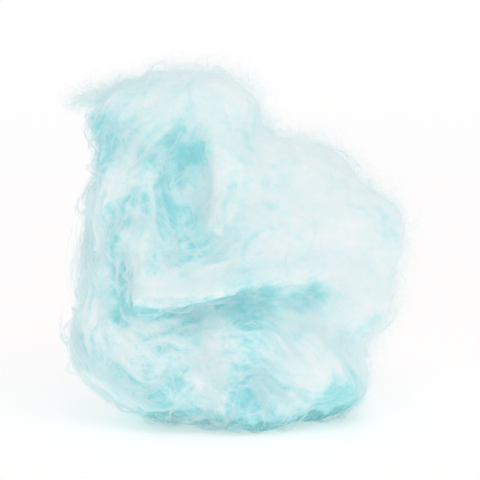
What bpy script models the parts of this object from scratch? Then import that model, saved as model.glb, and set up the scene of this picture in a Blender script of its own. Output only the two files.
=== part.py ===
"""A tuft of cotton candy: one torn handful of spun sugar, folded on itself and set down on a flat spot.

The tuft is a bundle of wads. Each wad is a closed spindle that follows a bent line. All of them are fused
by a voxel remesh, dented along the deeper folds, roughened by two sizes of lump and cut flat where the tuft
rests.
Run with: blender --background --python part.py

Frame: +Z up, origin at the centre of the resting side, the tuft's front face towards -Y.
"""

from math import pi, sqrt

import bmesh
import bpy
from mathutils import Matrix, Vector

MM = 0.001

# Driving sizes
TUFT_WIDTH = 75.0 * MM  # along X
TUFT_DEPTH = 69.0 * MM  # along Y
TUFT_HEIGHT = 78.0 * MM  # along Z, with the tuft set down
REST_PRESS = 1.3 * MM  # how much of the lowest wads is pressed flat

FUSE_CELL = 1.5 * MM  # voxel that fuses the wads
DENT_CELL = 1.0 * MM  # voxel that fuses the dents
SOFTEN_JOINS = 9  # smoothing passes over the fused wads
SKIN_CELL = 2.8 * MM  # voxel of the finished skin
SOFTEN_SKIN = 2  # smoothing passes over the finished skin
BROAD_LUMP = 15 * MM
BROAD_LUMP_HEIGHT = 3.4 * MM
SMALL_LUMP = 7 * MM
SMALL_LUMP_HEIGHT = 2.4 * MM
RING_POINTS = 24  # around each spindle
RINGS = 20  # along each spindle
STEEP = 0.35  # a line this near to upright takes its width along X
MERGE = 0.001 * MM
BLOCK_SIDE = 200 * MM

# Each wad, in millimetres: its two ends, the point its line bends towards between them, its half width
# across the line, its half height, and how blunt its ends are (2 is an ellipsoid, 4 a sausage).
WADS = {
    "heart": dict(ends=((-27, 5, 37), (28, 5, 35)), bend=(0, 4, 37), wide=29, high=27, blunt=2.6),
    "base": dict(ends=((-31, 1, 14), (28, 3, 12)), bend=(0, 1, 13), wide=28, high=12.5, blunt=3),
    "crown": dict(ends=((-41, -6, 66), (7, 2, 68)), bend=(-9, -5, 80), wide=16, high=7, blunt=3),
    "brow": dict(ends=((-26, -9, 64), (2, -9, 65)), bend=(-12, -15, 69), wide=6, high=5, blunt=3),
    "crown_core": dict(ends=((-30, 5, 57), (1, 5, 57)), bend=(-13, 6, 62), wide=18, high=11, blunt=2.6),
    "valley_bank": dict(ends=((-3, -10, 66), (5, -24, 42)), bend=(-5, -20, 54), wide=6, high=9, blunt=3),
    "valley_floor": dict(ends=((-10, -8, 56), (-6, -21, 38)), bend=(-12, -18, 46), wide=10, high=9, blunt=3),
    "pillar": dict(ends=((-24, -8, 64), (-31, -12, 22)), bend=(-36, -14, 48), wide=7, high=13, blunt=3.4),
    "strand": dict(ends=((-21, -14, 62), (-21, -26, 33)), bend=(-26, -30, 48), wide=4.5, high=7, blunt=3),
    "shoulder": dict(ends=((-5, -3, 50), (32, 0, 44)), bend=(18, -6, 59), wide=22, high=12, blunt=2.8),
    "right_block": dict(ends=((0, -11, 39), (38.5, -2, 45)), bend=(22, -17, 43), wide=21, high=13, blunt=8),
    "right_waist": dict(ends=((6, -7, 26), (38.5, -2, 33)), bend=(24, -9, 26), wide=21, high=11, blunt=6),
    "ridge": dict(ends=((-30, -26, 31.5), (34, -16, 37)), bend=(3, -42, 42), wide=7.5, high=4.6, blunt=6),
    "diagonal": dict(ends=((-8, -24, 23), (32, -14, 7)), bend=(18, -38, 20), wide=10, high=7, blunt=3),
    "right_foot": dict(ends=((8, -6, 10), (33, -3, 14)), bend=(20, -13, 8), wide=15, high=10, blunt=3.8),
    "left_bulge": dict(ends=((-38.5, -5, 24), (-5, -14, 16)), bend=(-23, -22, 13), wide=18, high=14, blunt=4),
    "left_cheek": dict(ends=((-33, -8, 38), (-32, -8, 18)), bend=(-40, -9, 28), wide=5, high=8, blunt=3),
    "front_bulge": dict(ends=((-13, -15, 10), (18, -13, 9)), bend=(2, -32, 12), wide=13, high=10.5, blunt=3),
    "back_crown": dict(ends=((-26, 14, 60), (12, 14, 50)), bend=(-6, 22, 68), wide=11, high=9, blunt=2.8),
    "back_left": dict(ends=((-29, 8, 56), (-24, 18, 18)), bend=(-35, 20, 36), wide=10, high=13, blunt=2.6),
    "back_right": dict(ends=((29, 8, 42), (14, 22, 10)), bend=(36, 24, 18), wide=11, high=12, blunt=2.6),
    "back_roll": dict(ends=((-30, 18, 26), (34, 8, 44)), bend=(-6, 46, 44), wide=8, high=6.5, blunt=4),
    "back_belly": dict(ends=((-22, 24, 34), (12, 26, 14)), bend=(-8, 36, 18), wide=8, high=8, blunt=3),
    "back_foot": dict(ends=((-30, 14, 12), (27, 15, 12)), bend=(-2, 30, 8), wide=14, high=11, blunt=3),
}

# Each dent pressed into the fused wads, in millimetres, given like a wad but round across its line.
DENTS = {
    "valley": dict(ends=((-14, -18, 65), (-7, -34, 42)), bend=(-19, -22, 52), wide=6.5, high=5.5, blunt=2),
    "mouth": dict(ends=((-29, -26, 28), (31, -33, 37)), bend=(0, -39, 30), wide=4.6, high=2.3, blunt=3),
    "nook": dict(ends=((-27.5, -22, 39), (-27, -23, 26)), bend=(-27.5, -22, 33), wide=1.8, high=9, blunt=3),
    "chin": dict(ends=((-4, -36, 25), (-7, -28, 1)), bend=(-7, -38, 10), wide=3.5, high=4, blunt=3),
    "hollow": dict(ends=((4, -34.5, 20), (9, -31.5, 4)), bend=(5, -38.5, 12), wide=4.5, high=5, blunt=2.6),
    "left_side": dict(ends=((-36, 1, 58), (-41, 3, 16)), bend=(-38, 0, 34), wide=5, high=5, blunt=3),
    "right_side": dict(ends=((35, 8, 52), (38, 10, 12)), bend=(43, 7, 30), wide=5, high=5, blunt=3),
    "back_left": dict(ends=((-14, 32, 60), (-26, 30, 16)), bend=(-12, 41, 40), wide=6, high=6, blunt=3),
    "back_right": dict(ends=((28, 24, 54), (4, 38, 26)), bend=(20, 36, 38), wide=6, high=6, blunt=3),
}


def clear_scene():
    for old in list(bpy.data.objects):
        bpy.data.objects.remove(old)


def point_on_line(start, bend, end, share):
    """The point at a share of the bent line, 0 at its start and 1 at its end, and the direction there."""
    point = (1 - share) ** 2 * start + 2 * share * (1 - share) * bend + share**2 * end
    along = (1 - share) * (bend - start) + share * (end - bend)
    return point, along.normalized()


def add_wad(bm, ends, bend, wide, high, blunt):
    """Adds one spindle that follows its bent line."""
    start, middle, end = (Vector(p) * MM for p in (ends[0], bend, ends[1]))
    poles_along_x = Matrix.Rotation(pi / 2, 4, "Y")
    ball = bmesh.ops.create_uvsphere(
        bm, u_segments=RING_POINTS, v_segments=RINGS, radius=1, matrix=poles_along_x
    )
    for vert in ball["verts"]:
        x, y, z = vert.co
        x = max(-1, min(1, x))
        ball_radius = sqrt(1 - x * x)
        fuller = sqrt(1 - abs(x) ** blunt) / ball_radius if ball_radius > 0.001 else 1
        centre, along = point_on_line(start, middle, end, (x + 1) / 2)
        side = along.cross(Vector((0, 0, 1)))
        if side.length < STEEP:
            side = Vector((1, 0, 0)) - along * along.x
        side.normalize()
        over = side.cross(along)
        vert.co = centre + side * (y * fuller * wide * MM) + over * (z * fuller * high * MM)


def add_fuse(tuft, name, cell):
    fuse = tuft.modifiers.new(name, "REMESH")
    fuse.mode = "VOXEL"
    fuse.voxel_size = cell


def add_soften(tuft, name, passes):
    soften = tuft.modifiers.new(name, "SMOOTH")
    soften.factor = 0.5
    soften.iterations = passes


def add_lumps(tuft, name, size, height):
    texture = bpy.data.textures.new(name, "CLOUDS")
    texture.noise_scale = size
    texture.noise_depth = 1
    lumps = tuft.modifiers.new(name, "DISPLACE")
    lumps.texture = texture
    lumps.texture_coords = "LOCAL"
    lumps.strength = height
    lumps.mid_level = 0.5


def apply_modifiers(tuft):
    shaped = tuft.evaluated_get(bpy.context.evaluated_depsgraph_get())
    mesh = bpy.data.meshes.new_from_object(shaped)
    tuft.modifiers.clear()
    tuft.data = mesh


def fit_to_size(tuft):
    """Gives the tuft its driving sizes and stands it over the origin, pressed a little into the floor."""
    points = [vert.co for vert in tuft.data.vertices]
    low = Vector([min(p[axis] for p in points) for axis in range(3)])
    high = Vector([max(p[axis] for p in points) for axis in range(3)])
    sizes = (TUFT_WIDTH, TUFT_DEPTH, TUFT_HEIGHT + REST_PRESS)
    scale = Matrix.Diagonal([size / (h - l) for size, h, l in zip(sizes, high, low)]).to_4x4()
    foot = Vector(((low.x + high.x) / 2, (low.y + high.y) / 2, low.z))
    tuft.data.transform(Matrix.Translation((0, 0, -REST_PRESS)) @ scale @ Matrix.Translation(-foot))


def add_object(name, bm):
    mesh = bpy.data.meshes.new(name)
    bm.to_mesh(mesh)
    bm.free()
    added = bpy.data.objects.new(name, mesh)
    bpy.context.scene.collection.objects.link(added)
    return added


def spindles(name, table):
    """One object with every spindle of a table."""
    bm = bmesh.new()
    for sizes in table.values():
        add_wad(bm, **sizes)
    bmesh.ops.remove_doubles(bm, verts=bm.verts, dist=MERGE)
    bmesh.ops.recalc_face_normals(bm, faces=bm.faces)
    return add_object(name, bm)


def floor_block():
    bm = bmesh.new()
    bmesh.ops.create_cube(bm, size=BLOCK_SIDE, matrix=Matrix.Translation((0, 0, -BLOCK_SIDE / 2)))
    return add_object("floor_block", bm)


def cut_away(tuft, name, cutter):
    cutter.hide_render = True
    cutter.display_type = "WIRE"
    cut = tuft.modifiers.new(name, "BOOLEAN")
    cut.operation = "DIFFERENCE"
    cut.object = cutter


def sugar_material():
    sugar = bpy.data.materials.new("spun_sugar")
    sugar.use_nodes = True
    shader = sugar.node_tree.nodes["Principled BSDF"]
    shader.inputs["Base Color"].default_value = (0.66, 0.87, 0.89, 1)
    shader.inputs["Roughness"].default_value = 0.85
    shader.inputs["Metallic"].default_value = 0
    return sugar


def make_tuft():
    tuft = spindles("cotton_candy", WADS)
    dents = spindles("dents", DENTS)
    add_fuse(dents, "fuse_dents", DENT_CELL)
    add_fuse(tuft, "fuse_wads", FUSE_CELL)
    cut_away(tuft, "press_dents", dents)
    add_fuse(tuft, "even_cells", FUSE_CELL)
    add_soften(tuft, "soften_joins", SOFTEN_JOINS)
    add_lumps(tuft, "broad_lumps", BROAD_LUMP, BROAD_LUMP_HEIGHT)
    add_lumps(tuft, "small_lumps", SMALL_LUMP, SMALL_LUMP_HEIGHT)
    add_fuse(tuft, "skin", SKIN_CELL)
    add_soften(tuft, "soften_skin", SOFTEN_SKIN)
    apply_modifiers(tuft)
    bpy.data.objects.remove(dents)
    fit_to_size(tuft)
    cut_away(tuft, "rest_flat", floor_block())
    tuft.data.materials.clear()
    tuft.data.materials.append(sugar_material())
    tuft.data.shade_smooth()


def main():
    clear_scene()
    make_tuft()


main()
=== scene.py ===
# A torn tuft of pale aqua cotton candy: a matted core of spun sugar under combed, curled and flyaway
# strands. Metres throughout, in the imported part's frame: +Z up, the tuft's front face towards -Y.

import math

import bpy
import numpy as np
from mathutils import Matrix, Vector
from mathutils.bvhtree import BVHTree


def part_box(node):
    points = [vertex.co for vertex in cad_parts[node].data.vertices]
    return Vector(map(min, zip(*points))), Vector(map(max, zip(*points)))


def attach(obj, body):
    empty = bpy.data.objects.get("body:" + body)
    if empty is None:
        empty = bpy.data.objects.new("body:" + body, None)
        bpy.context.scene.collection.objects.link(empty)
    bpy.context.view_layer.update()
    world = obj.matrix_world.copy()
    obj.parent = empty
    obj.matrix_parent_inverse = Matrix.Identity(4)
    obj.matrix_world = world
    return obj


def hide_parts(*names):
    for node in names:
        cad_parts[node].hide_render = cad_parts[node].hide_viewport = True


mm = 0.001
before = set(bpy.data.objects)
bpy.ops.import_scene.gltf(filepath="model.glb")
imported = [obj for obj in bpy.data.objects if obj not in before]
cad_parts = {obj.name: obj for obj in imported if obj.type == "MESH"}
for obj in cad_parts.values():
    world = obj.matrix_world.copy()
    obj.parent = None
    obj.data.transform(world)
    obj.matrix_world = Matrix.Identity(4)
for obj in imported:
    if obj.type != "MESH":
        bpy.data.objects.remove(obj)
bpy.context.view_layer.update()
tuftLow, tuftHigh = (np.array(corner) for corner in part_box("cotton_candy"))
tuftMid = (tuftLow + tuftHigh) / 2
tuftHalf = (tuftHigh - tuftLow) / 2

studio = {
    "worldStrength": 0.725,
    "backgroundStrength": 1.0,
    "keyPower": 3.88,
    "keySize": 1.2,
    "keyPlace": (0.12, -0.85, 1.25),
    "floorColour": (0.95, 0.915, 0.91),
    "floorGlow": 0.28,  # share of the floor's white that a shadow can't darken
    "floorGlowStrength": 1.53,
    "floorFade": (0.12, 0.50),  # from and to how far out the floor fades to plain white
    "floorSize": 8.0,
    "cameraElevation": 11.0,
    "cameraDistance": 1.9,
    "filmWidth": 36.0,
    "tuftHeightInPicture": 0.80,
}


def selectOnly(piece):
    bpy.ops.object.select_all(action="DESELECT")
    piece.select_set(True)
    bpy.context.view_layer.objects.active = piece


def unit(vectors):
    return vectors / np.maximum(np.linalg.norm(vectors, axis=-1, keepdims=True), 1e-12)


# Shader maths.

class Value:
    # wraps a socket, so that an expression on it adds its Math nodes
    def __init__(self, socket):
        self.socket = socket
        self.tree = socket.id_data

    def math(self, operation, first, second):
        node = self.tree.nodes.new("ShaderNodeMath")
        node.operation = operation
        join(first, node.inputs[0])
        join(second, node.inputs[1])
        return Value(node.outputs[0])

    def __add__(self, other):
        return self.math("ADD", self, other)

    def __radd__(self, other):
        return self.math("ADD", other, self)

    def __sub__(self, other):
        return self.math("SUBTRACT", self, other)

    def __rsub__(self, other):
        return self.math("SUBTRACT", other, self)

    def __mul__(self, other):
        return self.math("MULTIPLY", self, other)

    def __rmul__(self, other):
        return self.math("MULTIPLY", other, self)

    def atMost(self, other):
        return self.math("MINIMUM", self, other)

    def atLeast(self, other):
        return self.math("MAXIMUM", self, other)


def join(value, entry):
    if isinstance(value, Value):
        value = value.socket
    if isinstance(value, bpy.types.NodeSocket):
        entry.id_data.links.new(value, entry)
    else:
        entry.default_value = value


class Shader:
    def __init__(self, name):
        self.material = bpy.data.materials.new(name)
        self.material.use_nodes = True
        self.tree = self.material.node_tree
        self.tree.nodes.clear()

    def node(self, kind, settings=None, **sockets):
        # settings are set first, then each socket by its name with _ for a space, or by n and its number
        made = self.tree.nodes.new(kind)
        for name, value in (settings or {}).items():
            setattr(made, name, value)
        for name, value in sockets.items():
            entry = made.inputs[int(name[1:]) if name[1:].isdigit() else name.replace("_", " ")]
            join(value, entry)
        return made

    def ramp(self, value, stops):
        made = self.node("ShaderNodeValToRGB", Fac=value)
        while len(made.color_ramp.elements) < len(stops):
            made.color_ramp.elements.new(1.0)
        for element, (place, colour) in zip(made.color_ramp.elements, stops):
            element.position = place
            element.color = (*colour, 1.0)
        return made.outputs["Color"]

    def attribute(self, name):
        return Value(self.node("ShaderNodeAttribute", {"attribute_name": name}).outputs["Fac"])

    def noise(self, size, detail, roughness, distortion):
        place = self.node("ShaderNodeTexCoord").outputs["Object"]
        made = self.node(
            "ShaderNodeTexNoise",
            Vector=place, Scale=1 / size, Detail=detail, Roughness=roughness, Distortion=distortion,
        )
        return Value(made.outputs["Fac"])

    def finish(self, shader):
        self.node("ShaderNodeOutputMaterial", Surface=shader.outputs[0])
        return self.material


# The tone's colours: the white outer floss, and past it the painted shade of folds and of the underside.
sugar = {
    "stops": (
        (0.00, (0.910, 0.945, 0.950)),  # bright outer floss
        (0.30, (0.835, 0.930, 0.940)),
        (0.60, (0.640, 0.868, 0.890)),
        (0.86, (0.400, 0.785, 0.808)),  # painted shade deep in a fold
        (1.00, (0.310, 0.620, 0.620)),  # painted shade underneath
    ),
    # painted glow: emission by the tone, a cyan light painted into the sugar's shade, though the sugar is
    # no lamp
    "paintedGlowStops": (
        (0.00, (0.52, 0.62, 0.64)),
        (0.40, (0.38, 0.61, 0.64)),
        (0.86, (0.25, 0.62, 0.66)),
        (1.00, (0.10, 0.20, 0.21)),
    ),
    "deepest": 0.86,  # the tone of the deepest fold's painted shade; only the painted shade underneath is darker
    "glow": 0.10,  # painted glow: emission standing in for the light that has come through the sugar into a fold
    "specular": 0.25,
}
matted = {
    "grain": (0.45 * mm, 3.0, 0.6, 0.6),  # size, detail, roughness and distortion
    "wisps": (2.4 * mm, 4.0, 0.62, 1.6),
    "grainMottling": (0.05, 0.35),  # where the sugar is smooth, and what being torn adds
    "wispMottling": (0.10, 0.95),
    "grainBump": 0.8,
    "wispBump": 1.6,
    "bumpStrength": 0.5,
    "bumpDepth": 0.35 * mm,
    "roughness": 0.8,
    "scatterShare": 0.6,
    "scatterRadius": (0.7, 1.0, 1.0),
    "scatterScale": 3.0 * mm,
}
strand = {
    "roughness": 0.6,
    "passing": 0.5,  # share of the light that goes on through a strand
    "passingLost": 2.9,  # how fast that share falls off where the tone paints the underside in shade
    "passingColour": (0.89, 0.95, 0.955, 1.0),
}


def coreMaterial():
    made = Shader("matted_sugar")
    grain = made.noise(*matted["grain"])
    wisps = made.noise(*matted["wisps"])
    torn = made.attribute("torn")
    smooth = made.attribute("tone")
    wispLeast, wispTorn = matted["wispMottling"]
    grainLeast, grainTorn = matted["grainMottling"]
    mottled = smooth + (wisps - 0.5) * (torn * wispTorn + wispLeast)
    mottled += (grain - 0.5) * (torn * grainTorn + grainLeast)
    # the tone attribute carries painted shade; mottling can't take it past the deepest fold's painted
    # shade, and the painted shade underneath stays
    tone = mottled.atMost(smooth.atLeast(sugar["deepest"]))
    bump = made.node(
        "ShaderNodeBump",
        Strength=matted["bumpStrength"], Distance=matted["bumpDepth"],
        Height=wisps * matted["wispBump"] + grain * matted["grainBump"],
    )
    return made.finish(made.node(
        "ShaderNodeBsdfPrincipled",
        Base_Color=made.ramp(tone, sugar["stops"]),
        Roughness=matted["roughness"],
        Specular_IOR_Level=sugar["specular"],
        Subsurface_Weight=matted["scatterShare"],
        Subsurface_Radius=matted["scatterRadius"],
        Subsurface_Scale=matted["scatterScale"],
        # painted glow by the tone
        Emission_Color=made.ramp(tone, sugar["paintedGlowStops"]),
        Emission_Strength=sugar["glow"],
        Normal=bump.outputs["Normal"],
    ))


def strandMaterial(name):
    made = Shader(name)
    tone = made.attribute("tone")
    lit = made.node(
        "ShaderNodeBsdfPrincipled",
        Base_Color=made.ramp(tone, sugar["stops"]),
        Roughness=strand["roughness"],
        Specular_IOR_Level=sugar["specular"],
        # painted glow by the tone
        Emission_Color=made.ramp(tone, sugar["paintedGlowStops"]),
        Emission_Strength=sugar["glow"],
    )
    through = made.node("ShaderNodeBsdfTranslucent", Color=strand["passingColour"])
    # less light goes through where the underside is painted in shade
    passing = strand["passing"] - (tone - sugar["deepest"]).atLeast(0.0) * strand["passingLost"]
    return made.finish(made.node(
        "ShaderNodeMixShader", n0=passing, n1=lit.outputs[0], n2=through.outputs[0]
    ))


# The core: the CAD solid, merged, remeshed fine and softened.

core = {
    "weld": 0.01 * mm,
    "cell": 0.66 * mm,
    "soften": 0.5,
    "softenPasses": 14,
    "lumps": (("broad", 9 * mm, 1.1 * mm), ("small", 4 * mm, 0.5 * mm)),  # their size and height
    "inset": 0.7 * mm,  # how far the core stays back where fog covers it
    "restHeight": 0.15 * mm,
    "normalPasses": 12,
}


def applyModifier(piece, kind, **settings):
    selectOnly(piece)
    bpy.ops.object.modifier_add(type=kind)
    modifier = piece.modifiers[-1]
    for name, value in settings.items():
        setattr(modifier, name, value)
    bpy.ops.object.modifier_apply(modifier=modifier.name)


def lumpTexture(name, size):
    texture = bpy.data.textures.new(name, "CLOUDS")
    texture.noise_scale = size
    texture.noise_depth = 2
    return texture


def readArray(items, name, width, kind=np.float32):
    found = np.empty(len(items) * width, kind)
    items.foreach_get(name, found)
    return found.reshape(-1, width)


tearing = {
    "middle": 0.55,
    "lessRight": 0.75,
    "lessUp": 0.45,
    "crown": 0.6,  # where the crown starts, from -1 at the foot to 1 at the top
    "lessInCrown": 0.6,
    "least": 0.08,
}


def tornShare(points):
    # 1 where the sugar is torn to shreds, at the left and the foot, and least on the smooth right-hand bulk
    x, _, z = ((points - tuftMid) / tuftHalf).T
    torn = tearing["middle"] - tearing["lessRight"] * x - tearing["lessUp"] * z
    torn -= tearing["lessInCrown"] * np.clip(z - tearing["crown"], 0, 1)
    return np.clip(torn, tearing["least"], 1)


def makeCore():
    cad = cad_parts["cotton_candy"]
    piece = bpy.data.objects.new("sugar_core", cad.data.copy())
    bpy.context.scene.collection.objects.link(piece)
    selectOnly(piece)
    bpy.ops.object.mode_set(mode="EDIT")
    bpy.ops.mesh.select_all(action="SELECT")
    bpy.ops.mesh.remove_doubles(threshold=core["weld"])
    bpy.ops.object.mode_set(mode="OBJECT")
    applyModifier(piece, "REMESH", mode="VOXEL", voxel_size=core["cell"])
    applyModifier(piece, "SMOOTH", factor=core["soften"], iterations=core["softenPasses"])
    for name, size, height in core["lumps"]:
        applyModifier(
            piece, "DISPLACE", texture=lumpTexture(name, size), texture_coords="LOCAL",
            strength=height, mid_level=0.5,
        )
    applyModifier(piece, "TRIANGULATE")
    points = readArray(piece.data.vertices, "co", 3)
    points -= readArray(piece.data.vertices, "normal", 3) * core["inset"] * (1 - tornShare(points))[:, None]
    piece.data.vertices.foreach_set("co", points.ravel())
    piece.data.materials.clear()
    piece.data.materials.append(coreMaterial())
    return piece


class Skin:
    # the core's surface as arrays
    def __init__(self, mesh):
        self.points = readArray(mesh.vertices, "co", 3).astype(np.float64)
        self.faces = readArray(mesh.polygons, "vertices", 3, np.int32)
        edges = readArray(mesh.edges, "vertices", 2, np.int32)
        self.near = np.concatenate((edges, edges[:, ::-1]))
        self.degree = np.bincount(self.near[:, 0], minlength=len(self.points))
        a, b, c = (self.points[self.faces[:, i]] for i in range(3))
        cross = np.cross(b - a, c - a)
        self.areas = np.linalg.norm(cross, axis=1) / 2
        normals = np.zeros_like(self.points)
        for corner in range(3):
            for axis in range(3):
                normals[:, axis] += np.bincount(self.faces[:, corner], cross[:, axis], len(self.points))
        self.normals = unit(normals)
        self.softNormals = unit(self.evened(self.normals, core["normalPasses"]))
        self.tree = BVHTree.FromPolygons(self.points.tolist(), self.faces.tolist())

    def evened(self, values, passes):
        # values spread out over the surface: a vertex keeps some of its own and takes the rest from its
        # neighbours
        kept = 0.4
        values = values.reshape(len(self.points), -1)
        start, end = self.near.T
        for _ in range(passes):
            around = np.stack([np.bincount(start, v[end], len(v)) for v in values.T], 1)
            values = kept * values + (1 - kept) * around / self.degree[:, None]
        return values

    def nearest(self, places):
        # the closest spot on the skin to each place, its smooth normal and one of its vertices
        spots, normals = np.empty_like(places), np.empty_like(places)
        corners = np.empty(len(places), np.int32)
        for i, place in enumerate(places):
            spots[i], _, face, _ = self.tree.find_nearest(place)
            normals[i] = self.softNormals[self.faces[face]].mean(0)
            corners[i] = self.faces[face, 0]
        return spots, unit(normals), corners

    def scatter(self, weights, count, rng):
        # places picked over the faces, in proportion to their area and weight
        chance = self.areas * weights[self.faces].mean(1)
        face = rng.choice(len(chance), count, p=chance / chance.sum())
        r1, r2 = np.sqrt(rng.random((count, 1))), rng.random((count, 1))
        a, b, c = (self.points[self.faces[face, i]] for i in range(3))
        return (1 - r1) * a + r1 * (1 - r2) * b + r1 * r2 * c


# Places as seen from around the tuft.

def viewAxes(azimuth):
    turn, tilt = math.radians(azimuth), math.radians(studio["cameraElevation"])
    right = np.array((math.cos(turn), math.sin(turn), 0))
    back = np.array((math.sin(turn) * math.cos(tilt), -math.cos(turn) * math.cos(tilt), math.sin(tilt)))
    return right, np.cross(back, right), back


def viewPlace(azimuth, across, up):
    # across is -1 to 1 over the tuft as that view shows it, and up is 0 to 1
    right, top, _ = viewAxes(azimuth)
    return tuftMid + right * across * tuftHalf[0] + top * (2 * up - 1) * tuftHalf[2]


def spotSeen(skin, azimuth, across, up):
    # where the view meets the skin, or the place itself where the view misses the tuft
    aim = viewPlace(azimuth, across, up)
    back = viewAxes(azimuth)[2]
    outside = 200 * mm
    hit = skin.tree.ray_cast(aim + back * outside, -back)[0]
    return aim if hit is None else np.array(hit)


# Which way the strands run.

# Each guide is a spot seen from the front and the angle of its strands there, from 0 to the right to 90 up.
frontGuides = (
    (-0.80, 0.89, 20), (-0.60, 0.90, 25), (-0.42, 0.94, 18), (-0.18, 0.96, 5), (0.02, 0.92, -55),  # crown
    (-0.50, 0.85, 42), (-0.32, 0.91, 45), (-0.64, 0.81, 50), (-0.73, 0.74, 85), (-0.82, 0.72, 55),
    (-0.50, 0.76, 40), (-0.28, 0.84, 80), (0.00, 0.80, 85),
    (-0.85, 0.60, 80), (-0.90, 0.48, 72), (-0.95, 0.36, 70), (-0.78, 0.52, 78),  # left pillar
    (-0.56, 0.60, -88), (-0.52, 0.50, -72), (-0.62, 0.42, 88), (-0.46, 0.42, -75),
    (-0.36, 0.72, -80), (-0.36, 0.60, -75), (-0.26, 0.48, 50),  # valley and its bank
    (-0.20, 0.70, -85), (-0.16, 0.60, -88), (-0.10, 0.46, 45), (0.02, 0.52, 45),
    (0.12, 0.75, 75), (0.30, 0.70, -10), (0.45, 0.66, 45), (0.55, 0.60, 30), (0.40, 0.52, 15),  # right bulk
    (0.80, 0.58, -45), (0.70, 0.50, 5), (0.92, 0.48, -85), (0.30, 0.47, 15),
    (-0.55, 0.35, 5), (-0.30, 0.36, 12), (-0.10, 0.40, 22), (0.15, 0.43, 12), (0.50, 0.44, 2),  # ridge
    (0.85, 0.42, -8), (0.05, 0.37, 12), (0.45, 0.35, -35), (0.62, 0.32, -50),
    (-0.94, 0.25, -88), (-0.90, 0.16, -65), (-0.78, 0.09, -45), (-0.60, 0.05, -20),  # left bulge
    (-0.75, 0.24, -70), (-0.66, 0.13, -45), (-0.54, 0.07, 5), (-0.45, 0.13, 65), (-0.60, 0.24, 5),
    (-0.38, 0.09, 62), (-0.30, 0.24, 10), (-0.26, 0.14, -50), (-0.12, 0.20, 35),  # chin and foot
    (0.12, 0.24, -52), (0.24, 0.16, -50), (0.40, 0.21, -32), (0.60, 0.13, -38), (0.20, 0.28, -18),
    (0.16, 0.08, -58), (0.30, 0.07, -60), (0.10, 0.13, 5), (0.62, 0.04, 8), (0.76, 0.28, -75),
    (0.80, 0.12, 50),
)

# The same for the sides and the back, after the azimuth that they are seen from.
roundGuides = (
    (90, -0.50, 0.75, 60), (90, 0.10, 0.60, -20), (90, 0.55, 0.45, 30), (90, -0.30, 0.35, 5),
    (90, 0.20, 0.15, -40),
    (180, -0.60, 0.50, 40), (180, 0.00, 0.80, -15), (180, 0.55, 0.70, 50), (180, -0.10, 0.45, 15),
    (180, 0.60, 0.30, -60), (180, -0.50, 0.20, -30), (180, 0.10, 0.12, 20), (180, 0.30, 0.55, -35),
    (270, 0.50, 0.70, -75), (270, -0.10, 0.60, 70), (270, -0.50, 0.35, -50), (270, 0.30, 0.30, -85),
)
lie = {
    "reach": 4.5 * mm,  # how far a guide rules
    "farPull": 0.02,  # what is left of its pull beyond that
    "wander": 0.35,
    "wanderSize": 12 * mm,
    "wanderWaves": 24,
    "wanderSeed": 20,
    "leastStrength": 0.15,
}


def waveField(seed, count, size, spread=0.35):
    # the waves of a smooth random field whose features are about one size
    rng = np.random.default_rng(seed)
    lengths = size * np.exp(rng.normal(0, spread, count))
    ways = unit(rng.normal(size=(count, 3)))
    return ways * (2 * math.pi / lengths)[:, None], rng.uniform(0, 2 * math.pi, count)


def waveSum(field, places):
    waves, phases = field
    return np.sin(places @ waves.T + phases).sum(1) * math.sqrt(2 / len(phases))


class Lie:
    # the way of the strands all over the skin, without a sense along it
    def __init__(self, skin):
        self.pulls = []
        for azimuth, across, up, angle in [(0, *guide) for guide in frontGuides] + list(roundGuides):
            right, top, _ = viewAxes(azimuth)
            turn = math.radians(angle)
            heading = right * math.cos(turn) + top * math.sin(turn)
            self.pulls.append((spotSeen(skin, azimuth, across, up), heading))
        seeds = range(lie["wanderSeed"], lie["wanderSeed"] + 3)
        self.wander = [waveField(seed, lie["wanderWaves"], lie["wanderSize"]) for seed in seeds]

    def at(self, places, normals):
        # any two ways along the surface that are square to each other
        side = unit(np.cross(normals, (0.31, 0.17, 0.93)))
        over = np.cross(normals, side)

        def doubled(heading):
            # twice a heading's angle is the same for a heading and its opposite, so that they pull alike
            along, above = (heading * side).sum(1), (heading * over).sum(1)
            return np.stack((along**2 - above**2, 2 * along * above), 1)

        pull = np.zeros((len(places), 2))
        for spot, heading in self.pulls:
            away = ((places - spot) ** 2).sum(1) / lie["reach"] ** 2
            pull += (np.exp(-away / 2) + lie["farPull"] / (1 + away))[:, None] * doubled(heading)
        drift = np.stack([waveSum(field, places) for field in self.wander], 1)
        strength = np.minimum(np.linalg.norm(pull, axis=1, keepdims=True) + lie["leastStrength"], 1)
        pull += lie["wander"] * strength * doubled(drift)
        angle = np.arctan2(pull[:, 1], pull[:, 0])[:, None] / 2
        return side * np.cos(angle) + over * np.sin(angle)
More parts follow.
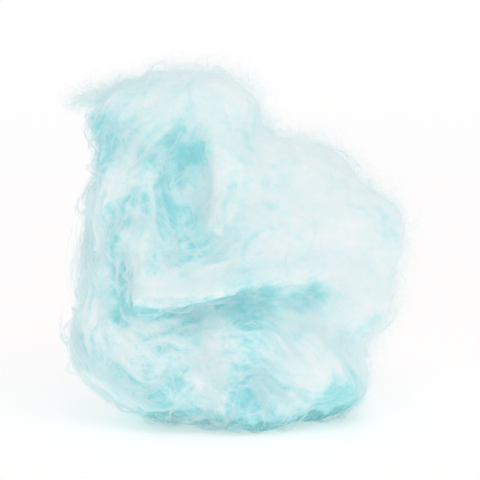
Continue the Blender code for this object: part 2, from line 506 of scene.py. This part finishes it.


# How white or how deep a cyan the sugar is painted: mostly painted shade and painted highlight, with some
# of its own uneven tone.

# Each tint is a spot seen from the front, its reach in mm and how much deeper (+) or whiter (-) it is:
# painted shade in the valley, left of the crown, in the mouth and on the foot, painted highlight on the
# bank and the ridge, and on the bulk and the patches partly painted shade and highlight, partly the sugar's
# own uneven tone.
shadeHighlightAndToneSpots = (
    (-0.36, 0.76, 4.0, 0.30), (-0.38, 0.62, 3.0, 0.12), (-0.22, 0.48, 3.5, 0.25),  # valley
    (-0.84, 0.80, 3.6, 0.80), (-0.83, 0.74, 2.4, 0.60), (-0.84, 0.68, 2.0, 0.35),  # left of the crown
    (-0.67, 0.55, 1.3, 0.45), (-0.59, 0.62, 1.3, 0.45), (-0.83, 0.655, 1.3, 0.30),
    (-0.72, 0.41, 1.6, 0.35), (-0.72, 0.36, 1.8, 0.45), (-0.69, 0.305, 1.8, 0.50),  # mouth, from the left
    (-0.64, 0.305, 1.5, 1.0), (-0.56, 0.301, 1.5, 1.0), (-0.48, 0.299, 1.5, 0.9), (-0.40, 0.299, 1.4, 0.6),
    (0.02, 0.37, 3.5, 0.45), (0.16, 0.36, 3.0, 0.30), (0.38, 0.34, 3.0, 0.40), (0.50, 0.34, 2.5, 0.35),
    (-0.38, 0.10, 2.2, 0.40), (-0.10, 0.22, 4.0, 0.15), (0.06, 0.18, 3.5, 0.20), (0.20, 0.12, 3.5, 0.25),
    (0.08, 0.05, 4.0, 0.30), (0.56, 0.05, 4.0, 0.75), (0.68, 0.05, 3.0, 0.50),  # foot
    (-0.44, 0.00, 3.5, 0.55),
    (0.16, 0.65, 2.2, 0.10), (0.19, 0.60, 2.0, 0.08), (0.60, 0.66, 2.5, 0.15),  # bulk
    (0.00, 0.53, 2.0, 0.12), (0.78, 0.24, 5.0, 0.15),
    (-0.94, 0.50, 3.0, 0.20), (-0.37, 0.79, 3.5, 0.15), (0.02, 0.37, 4.0, 0.10),  # soft patches all over
    (0.81, 0.53, 4.0, 0.15), (0.92, 0.54, 4.0, 0.12), (-0.59, 0.91, 3.0, 0.16), (-0.20, 0.95, 4.0, 0.10),
    (-0.18, 0.63, 2.4, -0.65), (-0.15, 0.58, 2.6, -0.40), (-0.14, 0.70, 2.5, -0.30),  # bank
    (-0.15, 0.26, 3.5, -0.60), (-0.21, 0.17, 3.0, -0.35), (0.55, 0.12, 3.0, -0.12),  # white patches
    (0.13, 0.10, 3.0, -0.15), (0.43, 0.77, 5.0, -0.20), (-0.59, 0.18, 3.0, -0.25),
    (-0.15, 0.02, 3.0, -0.08), (-0.36, 0.63, 2.0, -0.30),
    (-0.62, 0.36, 1.9, -0.60), (-0.54, 0.36, 1.9, -0.50), (-0.40, 0.37, 2.4, -0.45),  # ridge
    (-0.18, 0.40, 3.0, -0.45), (0.10, 0.42, 4.0, -0.20),
    (-0.58, 0.46, 3.0, -0.25), (-0.78, 0.70, 2.5, -0.20), (-0.80, 0.15, 5.0, -0.15),  # more white patches
    (-0.90, 0.26, 3.0, -0.05), (0.45, 0.20, 5.0, -0.20), (0.60, 0.50, 9.0, -0.10),
)
shade = {
    "rays": 14,
    "spread": 0.98,
    "reach": 24 * mm,
    "nearSky": 0.6,  # what of the sky shows past something as far off as the reach
    "start": 0.6 * mm,
    "evenPasses": 10,
    "seed": 3,
}


def openness(skin):
    # how much of its sky each vertex sees, from 0 deep in a fold to 1 out in the open
    rng = np.random.default_rng(shade["seed"])
    seen = np.zeros(len(skin.points))
    starts = (skin.points + skin.softNormals * shade["start"]).tolist()
    for _ in range(shade["rays"]):
        rays = unit(skin.softNormals + shade["spread"] * unit(rng.normal(size=skin.points.shape)))
        hits = [skin.tree.ray_cast(p, ray, shade["reach"])[3] for p, ray in zip(starts, rays.tolist())]
        seen += [1.0 if hit is None else shade["nearSky"] * hit / shade["reach"] for hit in hits]
    return skin.evened(seen / shade["rays"], shade["evenPasses"])[:, 0]


# The tone is mostly painted shade: deeper in folds that see less of their sky, on the torn left and foot,
# and underneath, where it is darkest; the mottles are the sugar's own uneven tone.
toning = {
    "least": 0.11,
    "inFolds": 1.1,
    "openEnough": 0.97,  # what sees this much of its sky is in no fold
    "torn": 0.30,
    "mottles": (dict(seed=31, size=9 * mm, amount=0.07), dict(seed=32, size=3.2 * mm, amount=0.06)),
    "mottleWaves": 60,
    "underside": 1.2,
    "undersideHeight": 6 * mm,
    "undersideLean": 0.40,  # how far up a surface may face and still count as underside
}


def skinToneAndShade(skin, skyShare):
    # 0 is the white outer floss, sugar["deepest"] the cyan painted shade of a deep fold, and more than that
    # the painted shade underneath; the spots paint shade and highlight, the mottles add the sugar's own
    # uneven tone
    tone = toning["least"] + toning["inFolds"] * np.clip(toning["openEnough"] - skyShare, 0, 1)
    tone += toning["torn"] * tornField
    for across, up, reach, amount in shadeHighlightAndToneSpots:
        away = ((skin.points - spotSeen(skin, 0, across, up)) ** 2).sum(1)
        tone += amount * np.exp(-away / (2 * (reach * mm) ** 2))
    for mottle in toning["mottles"]:
        field = waveField(mottle["seed"], toning["mottleWaves"], mottle["size"])
        tone += mottle["amount"] * waveSum(field, skin.points)
    # painted shade underneath: low down and facing down
    undersideShade = np.clip(1 - skin.points[:, 2] / toning["undersideHeight"], 0, 1)
    undersideShade *= np.clip(toning["undersideLean"] - skin.softNormals[:, 2], 0, 1)
    return np.minimum(tone, sugar["deepest"]) + toning["underside"] * undersideShade


# The core's relief: folds and wisps drawn out along the lie.

relief = {
    "layers": (
        dict(seed=41, size=6.5 * mm, run=5 * mm, height=0.26 * mm),  # folds
        dict(seed=42, size=3.0 * mm, run=3 * mm, height=0.14 * mm),  # wisps
        dict(seed=43, size=1.7 * mm, run=2 * mm, height=0.06 * mm),  # fibres
    ),
    "waves": 180,
    "wavesAtOnce": 30,
    "smoothShare": 0.12,  # how much of the relief is left where the sugar is smooth
    "whiterCrests": 0.08,
    "deeper": 0.05,  # how much deeper the core's tone is than the floss over it
}


def streaks(places, flow, layer):
    # waves that change along the flow cancel, and those that change across it stay
    waves, phases = waveField(layer["seed"], relief["waves"], layer["size"])
    total, power = np.zeros(len(places)), np.zeros(len(places))
    for first in range(0, len(phases), relief["wavesAtOnce"]):
        some = slice(first, first + relief["wavesAtOnce"])
        kept = np.exp(-((flow @ waves[some].T) * layer["run"]) ** 2 / 2)
        total += (np.sin(places @ waves[some].T + phases[some]) * kept).sum(1)
        power += (kept**2).sum(1) / 2
    return total / np.sqrt(np.maximum(power, 0.5))


def addRelief(piece, skin, flow, tone, torn):
    height, reliefLightAndShade = np.zeros(len(skin.points)), np.zeros(len(skin.points))
    for layer in relief["layers"]:
        streak = streaks(skin.points, flow, layer)
        streak *= relief["smoothShare"] + (1 - relief["smoothShare"]) * torn
        height += layer["height"] * streak
        # painted highlight on the relief's crests and painted shade in its hollows
        reliefLightAndShade -= relief["whiterCrests"] * streak
    places = skin.points + skin.normals * height[:, None]
    places[:, 2] = np.maximum(places[:, 2], core["restHeight"])
    piece.data.vertices.foreach_set("co", places.astype(np.float32).ravel())
    piece.data.update()
    # the tone attribute carries the painted shade and highlight into the material
    shown = np.clip(tone + reliefLightAndShade + relief["deeper"], 0, np.maximum(tone, sugar["deepest"]))
    for name, values in {"tone": np.minimum(shown, 1), "torn": torn}.items():
        attribute = piece.data.attributes.new(name, "FLOAT", "POINT")
        attribute.data.foreach_set("value", values.astype(np.float32))


# Strands.

tubes = {
    "leastHeight": 0.02 * mm,  # how low over the floor a strand may lie
    "mapEdge": 0.02,
    "mapAcross": 0.95,
    "mapUp": 0.96,
    "mapCorners": (0, 0.004, 0.008),
}


def makeTubes(name, paths, radii, tones):
    # closed three-sided tubes, one for each row of paths
    count, rings = paths.shape[:2]
    along = unit(np.gradient(paths, axis=1))
    across = unit(np.cross(along, np.roll(along, 1, axis=2) + 0.3))  # any way off the strand's own
    over = np.cross(along, across)
    turns = (np.arange(3) * 2 * math.pi / 3)[:, None]
    ring = np.cos(turns) * across[:, :, None] + np.sin(turns) * over[:, :, None]
    places = paths[:, :, None] + ring * radii[:, :, None, None]
    places[..., 2] = np.maximum(places[..., 2], tubes["leastHeight"])
    start = np.arange(count)[:, None, None] * rings * 3
    level = start + np.arange(rings - 1)[None, :, None] * 3
    a, b = np.arange(3), (np.arange(3) + 1) % 3
    quads = np.stack((level + a, level + b, level + 3 + b, level + 3 + a), -1)
    foot = start[:, 0] + np.array((2, 1, 0))
    tip = start[:, 0] + (rings - 1) * 3 + np.array((0, 1, 2))
    corners = np.concatenate((quads.ravel(), foot.ravel(), tip.ravel())).astype(np.int32)
    sizes = np.repeat((4, 3), (count * (rings - 1) * 3, count * 2)).astype(np.int32)
    mesh = bpy.data.meshes.new(name)
    mesh.vertices.add(count * rings * 3)
    mesh.vertices.foreach_set("co", places.astype(np.float32).ravel())
    mesh.loops.add(len(corners))
    mesh.loops.foreach_set("vertex_index", corners)
    mesh.polygons.add(len(sizes))
    mesh.polygons.foreach_set("loop_start", (np.cumsum(sizes) - sizes).astype(np.int32))
    mesh.polygons.foreach_set("loop_total", sizes)
    mesh.update(calc_edges=True)
    mesh.shade_flat()
    attribute = mesh.attributes.new("tone", "FLOAT", "POINT")
    attribute.data.foreach_set("value", np.repeat(tones.ravel(), 3).astype(np.float32))
    layTones(mesh, tones, corners)
    piece = bpy.data.objects.new(name, mesh)
    bpy.context.scene.collection.objects.link(piece)
    piece.data.materials.append(strandMaterial(name + "_sugar"))
    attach(piece, "root")
    print(name, count, "strands")


def layTones(mesh, tones, corners):
    # a map for a baked colour: the tone across it, and the place along the strand up it
    rings = tones.shape[1]
    across = tubes["mapEdge"] + tubes["mapAcross"] * tones[:, :, None] + np.array(tubes["mapCorners"])
    share = np.linspace(0, 1, rings)[None, :, None]
    up = tubes["mapEdge"] + tubes["mapUp"] * np.broadcast_to(share, across.shape)
    spots = np.stack((across, up), -1).reshape(-1, 2)
    layer = mesh.uv_layers.new(name="OFBake")
    layer.data.foreach_set("uv", spots[corners].astype(np.float32).ravel())


# Each kind of floss: how many locks and strands in a lock, how long they are, how far a lock spreads, how
# high it lies and lifts, how far it strays from the lie (in radians) and sways, half a strand's thickness,
# its tone beside the skin's and which weights place it. Lengths are in mm.
floss = {
    "matted_floss": dict(
        seed=62, locks=1600, strands=3, rings=5, length=(3, 7), spread=1.1, height=(0.0, 0.5), lift=0.4,
        stray=0.9, sway=0.5, thick=(0.018, 0.036), tone=(-0.20, 0.05), place="combed",
    ),
    "combed_floss": dict(
        seed=64, locks=400, strands=6, rings=6, length=(4, 10), spread=0.8, height=(0.2, 0.8), lift=0.5,
        stray=0.45, sway=0.6, thick=(0.014, 0.030), tone=(-0.60, -0.20), place="combed",
    ),
    "white_wisps": dict(
        seed=63, locks=600, strands=10, rings=6, length=(3, 9), spread=0.20, height=(0.4, 1.1), lift=0.8,
        stray=0.80, sway=0.45, thick=(0.020, 0.042), tone=(-0.90, -0.45), place="torn",
    ),
}
lock = {
    "tight": 0.45,  # the share of its spread that a lock has at its middle
    "looser": 1.1,  # and how much more it has towards its ends
    "flat": 0.35,
    "waves": (0.6, 1.9),
    "swayUp": 0.6,
    "slip": 1.5,  # how far a strand may lie ahead of the others, in steps
}

# Fog is short fibres every way, the fewer the further out: how far it reaches, how long and how bent they
# are, and half their thickness. Lengths are in mm.
fog = {
    "near_fog": dict(
        seed=71, strands=13400, reach=2.6, length=(2.5, 5.5), bend=0.4, thick=(0.010, 0.021),
    ),
    "far_fog": dict(
        seed=72, strands=12600, reach=5.5, length=(2.5, 5.5), bend=0.4, thick=(0.008, 0.016),
    ),
}
fogLook = {
    "tornReach": 0.3,  # the share of its reach that fog has where the sugar is torn
    "thinning": 1.5,
    "combed": 0.4,
    "tone": (-0.15, 0.10),
}

# The crown's left end is drawn out to a point of fog: the spots, seen from the front, that it runs through,
# how far it keeps in front of the tuft's middle and how wide it is at either end, in mm.
point = dict(
    seed=73, strands=2600, spots=((-0.60, 0.90), (-0.78, 0.925), (-1.00, 0.905)), thinning=1.8,
    ahead=8, wide=(2.3, 1.4), length=(2, 5), bend=0.6, thick=(0.009, 0.018), tone=0.12,
)


growth = {
    "lowest": 1.0 * mm,  # nothing grows where the tuft rests
    "combedLeast": 0.15,
    "tornLeast": 0.02,
    "tornRise": 1.5,
    "whiteMost": 1.2,
    "lessInFolds": 0.8,
    "fogInFolds": 0.25,
    "fogMost": 1.15,
}


def placeWeights(skin, where):
    # how thickly each kind grows over the skin
    whiteness = growth["whiteMost"] - growth["lessInFolds"] * np.minimum(toneAndShadeField, 1)
    sky = np.clip(openField, 0, 1) ** 2
    weights = {
        "combed": growth["combedLeast"] + tornField,
        "torn": (growth["tornLeast"] + tornField ** growth["tornRise"]) * whiteness,
        "foggy": (growth["fogInFolds"] + sky) * (growth["fogMost"] - tornField),
    }
    return np.where(skin.points[:, 2] > growth["lowest"], 1.0, 0.0) * weights[where]


def growLocks(skin, lieField, kind):
    # strands in locks: each lock's spine follows the lie over the skin, and its strands keep beside it
    rng = np.random.default_rng(kind["seed"])
    locks, rings = kind["locks"], kind["rings"]
    roots = skin.scatter(placeWeights(skin, kind["place"]), locks, rng)
    spots, normals, corners = skin.nearest(roots)
    step = (rng.uniform(*kind["length"], locks) * mm / (rings - 1))[:, None]
    turn = rng.normal(0, kind["stray"], locks)
    bend = rng.normal(0, kind["sway"] / 3, locks)  # what it turns further at each ring
    height = rng.uniform(*kind["height"], locks) * mm
    peak = kind["lift"] * mm * rng.gamma(2.0, 0.5, locks)  # a few locks lift far more than the rest
    arch = rng.uniform(0.5, 1.0, locks)  # 0.5 lets the lock's end stand free, and 1 brings it back down
    spine, ups, sides = (np.empty((locks, rings, 3)) for _ in range(3))
    heading = lieField.at(spots, normals) * rng.choice((-1.0, 1.0), locks)[:, None]
    for ring in range(rings):
        flow = lieField.at(spots, normals)
        flow *= np.where((flow * heading).sum(1) < 0, -1.0, 1.0)[:, None]
        angle = (turn + bend * ring)[:, None]
        aim = flow * np.cos(angle) + np.cross(normals, flow) * np.sin(angle)
        heading = aim if ring == 0 else unit(0.5 * heading + 0.5 * aim)
        rise = height + peak * np.sin(math.pi * arch * ring / (rings - 1)) ** 1.5
        spine[:, ring] = spots + normals * rise[:, None]
        ups[:, ring], sides[:, ring] = normals, np.cross(normals, heading)
        spots, normals, _ = skin.nearest(spots + heading * step)
    return frayLocks(rng, spine, ups, sides, corners, kind)


def frayLocks(rng, spine, ups, sides, corners, kind):
    locks, rings = spine.shape[:2]
    each = (locks, kind["strands"], 1, 1)
    share = np.linspace(0, 1, rings)[None, None, :, None]
    loose = lock["tight"] + lock["looser"] * np.abs(share - 0.5)
    offset = rng.normal(0, kind["spread"] * mm, each)
    rise = rng.normal(0, lock["flat"] * kind["spread"] * mm, each)
    phase = rng.uniform(0, 2 * math.pi, (2, *each))
    pitch = rng.uniform(*lock["waves"], (2, *each)) * 2 * math.pi
    sway = kind["sway"] * mm * rng.uniform(0.3, 1.0, each)
    paths = (
        spine[:, None]
        + sides[:, None] * (offset * loose + sway * np.sin(phase[0] + pitch[0] * share))
        + ups[:, None] * (rise * loose + lock["swayUp"] * sway * np.sin(phase[1] + pitch[1] * share))
        + np.gradient(spine, axis=1)[:, None] * rng.uniform(-lock["slip"], lock["slip"], each)
    )
    # each lock takes the skin's tone at its root, painted shade included
    tone = toneAndShadeField[corners][:, None] + rng.uniform(*kind["tone"], each[:2])
    return finishStrands(rng, paths, tone, kind["thick"])


def growFog(skin, kind):
    rng = np.random.default_rng(kind["seed"])
    count = kind["strands"]
    spots, normals, corners = skin.nearest(skin.scatter(placeWeights(skin, "foggy"), count, rng))
    reach = kind["reach"] * mm * (1 - (1 - fogLook["tornReach"]) * tornField[corners])
    middles = spots + normals * (reach * rng.random(count) ** fogLook["thinning"])[:, None]
    # fog takes the skin's tone where it grows, painted shade included
    return bentFibres(rng, middles, lieField.at(spots, normals), toneAndShadeField[corners], kind)


def bentFibres(rng, middles, along, tone, kind):
    # fibres every way, but rather more of them along than across
    ways = unit(rng.normal(size=middles.shape) + fogLook["combed"] * along)
    sides = unit(np.cross(ways, rng.normal(size=middles.shape)))
    length = rng.uniform(*kind["length"], (len(middles), 1, 1)) * mm
    share = np.array((-0.5, 0.0, 0.5))[None, :, None]
    paths = middles[:, None] + length * (ways[:, None] * share + kind["bend"] * sides[:, None] * share**2)
    return finishStrands(rng, paths, tone + rng.uniform(*fogLook["tone"], len(middles)), kind["thick"])


def finishStrands(rng, paths, tone, thick):
    # one row for each strand, drawn out thin at both ends
    rings = paths.shape[-2]
    tip, fullness = 0.06, 0.6
    ends = np.sin(math.pi * np.linspace(tip, 1 - tip, rings)) ** fullness
    tones = np.repeat(np.clip(tone, 0, 1).reshape(-1, 1), rings, axis=1)
    radii = rng.uniform(*thick, (len(tones), 1)) * mm * ends
    return paths.reshape(-1, rings, 3), radii, tones


# Wisps that stand out one by one.

# Each wisp has a number of strands, half its width in mm and the spots, seen from the front, that it runs
# through. A wisp with a depth leaves the tuft: it keeps that far in front of the tuft's middle, in mm.
drawn = {
    "crown_sweep": (34, 1.4, (-0.83, 0.90), (-0.63, 0.925), (-0.45, 0.96), (-0.25, 0.985)),
    "crown_fold": (30, 0.9, (-0.73, 0.84), (-0.53, 0.865), (-0.35, 0.925), (-0.22, 0.967)),
    "crown_loop": (24, 0.3, (-0.32, 0.943), (-0.30, 0.90), (-0.27, 0.84)),
    "arc": (36, 0.4, (-0.565, 0.858), (-0.69, 0.827), (-0.755, 0.778), (-0.742, 0.705)),
    "inner_arc": (30, 0.4, (-0.527, 0.827), (-0.64, 0.803), (-0.704, 0.754), (-0.704, 0.68)),
    "outer_arc": (30, 0.35, (-0.60, 0.885), (-0.74, 0.85), (-0.80, 0.79), (-0.81, 0.72)),
    "corner_curl": (20, 0.2, (-0.79, 0.83), (-0.83, 0.80), (-0.82, 0.765), (-0.78, 0.77)),
    "valley_lip": (40, 0.5, (-0.374, 0.797), (-0.489, 0.76), (-0.577, 0.724), (-0.68, 0.687)),
    "valley_tag": (24, 0.3, (-0.41, 0.73), (-0.489, 0.705), (-0.55, 0.687)),
    "left_edge": (50, 0.6, (-0.73, 0.76), (-0.82, 0.705), (-0.895, 0.644), (-0.933, 0.583)),
    "pillar": (70, 1.1, (-0.82, 0.644), (-0.857, 0.534), (-0.933, 0.425), (-0.984, 0.327)),
    "pillar_inner": (50, 0.8, (-0.742, 0.626), (-0.78, 0.522), (-0.844, 0.412), (-0.907, 0.315)),
    "strand_left": (26, 0.8, (-0.527, 0.669), (-0.577, 0.583), (-0.628, 0.498), (-0.64, 0.40)),
    "strand_mid": (34, 1.0, (-0.628, 0.656), (-0.615, 0.559), (-0.603, 0.461), (-0.59, 0.376)),
    "strand_right": (28, 0.9, (-0.552, 0.632), (-0.527, 0.534), (-0.463, 0.449), (-0.40, 0.388)),
    "bank": (60, 0.8, (-0.21, 0.766), (-0.184, 0.681), (-0.171, 0.595), (-0.197, 0.534)),
    "bank_foot": (40, 0.7, (-0.26, 0.681), (-0.247, 0.595), (-0.184, 0.516), (-0.133, 0.461)),
    "ridge_fan": (40, 0.9, (-0.285, 0.376), (-0.171, 0.437), (-0.019, 0.498), (0.133, 0.547)),
    "ridge_end": (60, 0.9, (-0.70, 0.352), (-0.62, 0.352), (-0.52, 0.36)),
    "ridge": (80, 1.5, (-0.64, 0.345), (-0.40, 0.351), (-0.171, 0.388), (0.108, 0.425), (0.387, 0.437)),
    "ridge_right": (40, 1.8, (0.133, 0.431), (0.425, 0.449), (0.717, 0.443), (0.958, 0.425)),
    "hook": (44, 0.4, (-0.298, 0.321), (-0.26, 0.284), (-0.311, 0.242), (-0.451, 0.236)),
    "bulge_edge": (60, 1.0, (-0.996, 0.303), (-0.958, 0.217), (-0.869, 0.138), (-0.73, 0.071)),
    "bowl": (44, 0.6, (-0.742, 0.156), (-0.666, 0.101), (-0.565, 0.071), (-0.463, 0.101), (-0.40, 0.162)),
    "bowl_outer": (50, 0.7, (-0.831, 0.181), (-0.73, 0.095), (-0.565, 0.04), (-0.451, 0.059)),
    "chin_arc": (24, 0.3, (-0.349, 0.162), (-0.273, 0.138), (-0.222, 0.101)),
    "foot_loop": (44, 0.4, (-0.184, 0.04), (-0.171, 0.0), (-0.108, -0.02), (-0.044, 0.01), (-0.082, 0.046)),
    "foot_hem": (30, 0.6, (-0.50, 0.02), (-0.36, -0.005), (-0.20, 0.005), (-0.04, -0.01)),
    "foot_curl": (24, 0.3, (-0.26, 0.07), (-0.21, 0.02), (-0.26, -0.005), (-0.32, 0.02)),
    "fall": (40, 0.4, (0.095, 0.266), (0.184, 0.223), (0.26, 0.174), (0.362, 0.126)),
    "fall_right": (50, 0.7, (0.133, 0.284), (0.247, 0.236), (0.336, 0.174), (0.489, 0.113)),
    "band": (80, 1.5, (0.108, 0.303), (0.324, 0.266), (0.527, 0.211), (0.679, 0.12)),
    "lobe_mid": (36, 0.5, (0.133, 0.132), (0.209, 0.089), (0.286, 0.04), (0.362, 0.004)),
    "lobe_left": (36, 0.5, (0.057, 0.12), (0.095, 0.059), (0.159, 0.01), (0.222, -0.021)),
    "lobe_rim": (44, 0.6, (0.044, 0.132), (0.184, 0.144), (0.311, 0.101), (0.374, 0.04)),
    "mouth_tag": (24, 0.4, (0.311, 0.37), (0.412, 0.345), (0.501, 0.309)),
    "point": (90, 1.5, (-0.64, 0.90), (-0.86, 0.905), (-1.07, 0.89)),
    "veil": (110, 1.3, (-0.84, 0.63), (-0.925, 0.50), (-0.965, 0.40), (-0.95, 0.30)),
}
depths = {"point": 8, "veil": 8}
drawnLook = dict(
    seed=66, rings=8, part=(0.35, 1.0), height=0.3, lift=0.5, spread=1.35, gather=0.6, flat=0.4,
    waves=(0.5, 2.2), sway=0.6, freeSway=1.2, swayUp=0.6, thick=(0.014, 0.032), tone=(0.0, 0.25),
)


def throughSpots(points, shares):
    # a smooth line through points, at shares from 0 to 1 of its way
    points = np.concatenate((2 * points[:1] - points[1:2], points, 2 * points[-1:] - points[-2:-1]))
    place = shares * (len(points) - 3)
    first = np.minimum(place.astype(int), len(points) - 4)
    t = (place - first)[:, None]
    a, b, c, d = (points[first + i] for i in range(4))
    bend, twist = 2 * a - 5 * b + 4 * c - d, 3 * b - a - 3 * c + d
    return 0.5 * (2 * b + (c - a) * t + bend * t**2 + twist * t**3)


def drawWisp(skin, rng, name, strands, wide, *spots):
    # each strand runs along its own part of the wisp's line, and the wisp narrows towards its end
    length = rng.uniform(*drawnLook["part"], (strands, 1))
    share = rng.random((strands, 1)) * (1 - length) + length * np.linspace(0, 1, drawnLook["rings"])
    if name in depths:
        line = throughSpots(np.array([viewPlace(0, *spot) for spot in spots]), share.ravel())
        line += viewAxes(0)[2] * depths[name] * mm
        normals = np.broadcast_to(viewAxes(0)[2], line.shape)
    else:
        line = throughSpots(np.array([spotSeen(skin, 0, *spot) for spot in spots]), share.ravel())
        line, normals, _ = skin.nearest(line)
        above = drawnLook["height"] + drawnLook["lift"] * np.sin(math.pi * share.ravel())
        line += normals * (above * mm)[:, None]
    line, normals = (values.reshape(*share.shape, 3) for values in (line, normals))
    sides = unit(np.cross(normals, np.gradient(line, axis=1)))
    share, each = share[:, :, None], (strands, 1, 1)
    wide *= drawnLook["spread"] * mm
    narrowing = 1 - drawnLook["gather"] * share
    offset = rng.normal(0, wide, each) * narrowing
    rise = rng.normal(0, drawnLook["flat"] * wide, each) * narrowing
    phase = rng.uniform(0, 2 * math.pi, (2, *each))
    pitch = rng.uniform(*drawnLook["waves"], (2, *each)) * 2 * math.pi
    sway = drawnLook["freeSway" if name in depths else "sway"] * mm * rng.uniform(0.2, 1.0, each)
    paths = (
        line
        + sides * (offset + sway * np.sin(phase[0] + pitch[0] * share))
        + normals * (rise + drawnLook["swayUp"] * sway * np.sin(phase[1] + pitch[1] * share))
    )
    return finishStrands(rng, paths, rng.uniform(*drawnLook["tone"], strands), drawnLook["thick"])


def growPoint():
    rng = np.random.default_rng(point["seed"])
    share = rng.random(point["strands"]) ** point["thinning"]
    middles = throughSpots(np.array([viewPlace(0, *spot) for spot in point["spots"]]), share)
    wide = (point["wide"][0] * (1 - share) + point["wide"][1] * share) * mm
    middles += viewAxes(0)[2] * point["ahead"] * mm + rng.normal(size=middles.shape) * wide[:, None]
    return bentFibres(rng, middles, viewAxes(0)[0], point["tone"], point)


# Curls: short strands that turn on themselves.

curls = dict(
    seed=67, locks=600, strands=5, rings=8, radius=(0.6, 2.4), turns=(0.4, 1.2), unlikeTurns=0.05,
    unlikeStart=0.15, drift=2.5, spread=0.15, height=(0.4, 1.1), thick=(0.014, 0.030), tone=(-0.90, -0.40),
)


def growCurls(skin, lieField):
    rng = np.random.default_rng(curls["seed"])
    locks, strands, rings = curls["locks"], curls["strands"], curls["rings"]
    spots, normals, corners = skin.nearest(skin.scatter(placeWeights(skin, "torn"), locks, rng))
    flow = lieField.at(spots, normals)
    flow, side = flow[:, None, None], np.cross(normals, flow)[:, None, None]
    share = np.linspace(0, 1, rings)[None, None, :, None]
    whole, each = (locks, 1, 1, 1), (locks, strands, 1, 1)
    spread = curls["spread"] * mm
    radius = rng.uniform(*curls["radius"], whole) * mm + rng.normal(0, spread, each)
    turns = rng.uniform(*curls["turns"], whole) * rng.choice((-1, 1), whole)
    turns = turns + rng.normal(0, curls["unlikeTurns"], each)
    start = rng.uniform(0, 2 * math.pi, whole) + rng.normal(0, curls["unlikeStart"], each)
    angle = start + turns * 2 * math.pi * share
    drift = rng.normal(0, curls["drift"] * mm, whole) * (share - 0.5)
    flat = spots[:, None, None] + flow * (radius * np.cos(angle) + drift) + side * radius * np.sin(angle)
    flat = flat + rng.normal(0, spread, (locks, strands, 1, 3))
    onSkin, ups, _ = skin.nearest(flat.reshape(-1, 3))
    height = rng.uniform(*curls["height"], whole) * (1 + 0.5 * np.sin(2 * angle)) * mm
    paths = onSkin.reshape(flat.shape) + ups.reshape(flat.shape) * height
    # each curl takes the skin's tone at its root, painted shade included
    tone = toneAndShadeField[corners][:, None] + rng.uniform(*curls["tone"], (locks, strands))
    return finishStrands(rng, paths, tone, curls["thick"])


# Floor, light and camera.

def makeFloor():
    bpy.ops.object.select_all(action="DESELECT")
    bpy.ops.mesh.primitive_plane_add(size=studio["floorSize"], location=(0, 0, 0))
    floor = bpy.context.object
    floor.name = "studio_floor"
    made = Shader("white_sweep")
    lit = made.node("ShaderNodeBsdfDiffuse", Color=(*studio["floorColour"], 1.0))
    glow = made.node("ShaderNodeEmission", Color=(1, 1, 1, 1), Strength=studio["floorGlowStrength"])
    near = made.node("ShaderNodeMixShader", n0=studio["floorGlow"], n1=lit.outputs[0], n2=glow.outputs[0])
    white = made.node("ShaderNodeEmission", Color=(1, 1, 1, 1), Strength=1.0)
    place = made.node("ShaderNodeTexCoord").outputs["Object"]
    away = Value(made.node("ShaderNodeVectorMath", {"operation": "LENGTH"}, n0=place).outputs["Value"])
    start, end = studio["floorFade"]
    faded = ((away - start) * (1 / (end - start))).atLeast(0.0).atMost(1.0)
    shader = made.node("ShaderNodeMixShader", n0=faded, n1=near.outputs[0], n2=white.outputs[0])
    floor.data.materials.append(made.finish(shader))


def makeLight():
    world = bpy.data.worlds.new("soft_box")
    bpy.context.scene.world = world
    world.use_nodes = True
    background = world.node_tree.nodes["Background"]
    background.inputs["Color"].default_value = (1, 1, 1, 1)
    seen = Value(world.node_tree.nodes.new("ShaderNodeLightPath").outputs["Is Camera Ray"])
    brighter = studio["backgroundStrength"] - studio["worldStrength"]
    join(seen * brighter + studio["worldStrength"], background.inputs["Strength"])
    bpy.ops.object.select_all(action="DESELECT")
    bpy.ops.object.light_add(type="AREA", location=studio["keyPlace"])
    key = bpy.context.object
    key.name = "key_light"
    key.data.shape = "DISK"
    key.data.size = studio["keySize"]
    key.data.energy = studio["keyPower"]
    key.rotation_euler = (Vector(tuftMid) - key.location).to_track_quat("-Z", "Y").to_euler()


def makeCamera():
    back = viewAxes(0)[2]
    tilt = math.radians(studio["cameraElevation"])
    deep = 0.75 * tuftHalf[1]  # the tuft is rounded, so it doesn't fill its box
    tall = 2 * (tuftHalf[2] * math.cos(tilt) + deep * math.sin(tilt))
    bpy.ops.object.select_all(action="DESELECT")
    bpy.ops.object.camera_add(location=tuftMid + back * studio["cameraDistance"])
    camera = bpy.context.object
    camera.rotation_euler = Vector(-back).to_track_quat("-Z", "Y").to_euler()
    camera.data.sensor_width = studio["filmWidth"]
    camera.data.lens = studio["filmWidth"] * studio["cameraDistance"] * studio["tuftHeightInPicture"] / tall
    camera.data.clip_end = 50
    bpy.context.scene.camera = camera


# Build.

bpy.context.scene.view_settings.view_transform = "Standard"
bpy.context.scene.cycles.diffuse_bounces = 10  # light goes a long way through spun sugar
makeCamera()
makeLight()
makeFloor()
print("studio ready")

corePiece = makeCore()
skin = Skin(corePiece.data)
print("core", len(skin.points), "points", len(skin.faces), "triangles")
openField = openness(skin)
tornField = tornShare(skin.points)
toneAndShadeField = skinToneAndShade(skin, openField)
print("tone", toneAndShadeField.min(), toneAndShadeField.mean(), toneAndShadeField.max())
lieField = Lie(skin)
addRelief(corePiece, skin, lieField.at(skin.points, skin.softNormals), toneAndShadeField, tornField)
corePiece.data.shade_smooth()
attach(corePiece, "root")
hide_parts("cotton_candy")
print("core relief done")

for name, kind in floss.items():
    makeTubes(name, *growLocks(skin, lieField, kind))
for name, kind in fog.items():
    makeTubes(name, *growFog(skin, kind))
drawnRandom = np.random.default_rng(drawnLook["seed"])
wisps = [drawWisp(skin, drawnRandom, name, *wisp) for name, wisp in drawn.items()]
makeTubes("drawn_wisps", *(np.concatenate(arrays) for arrays in zip(*wisps)))
makeTubes("point_fog", *growPoint())
makeTubes("loose_curls", *growCurls(skin, lieField))
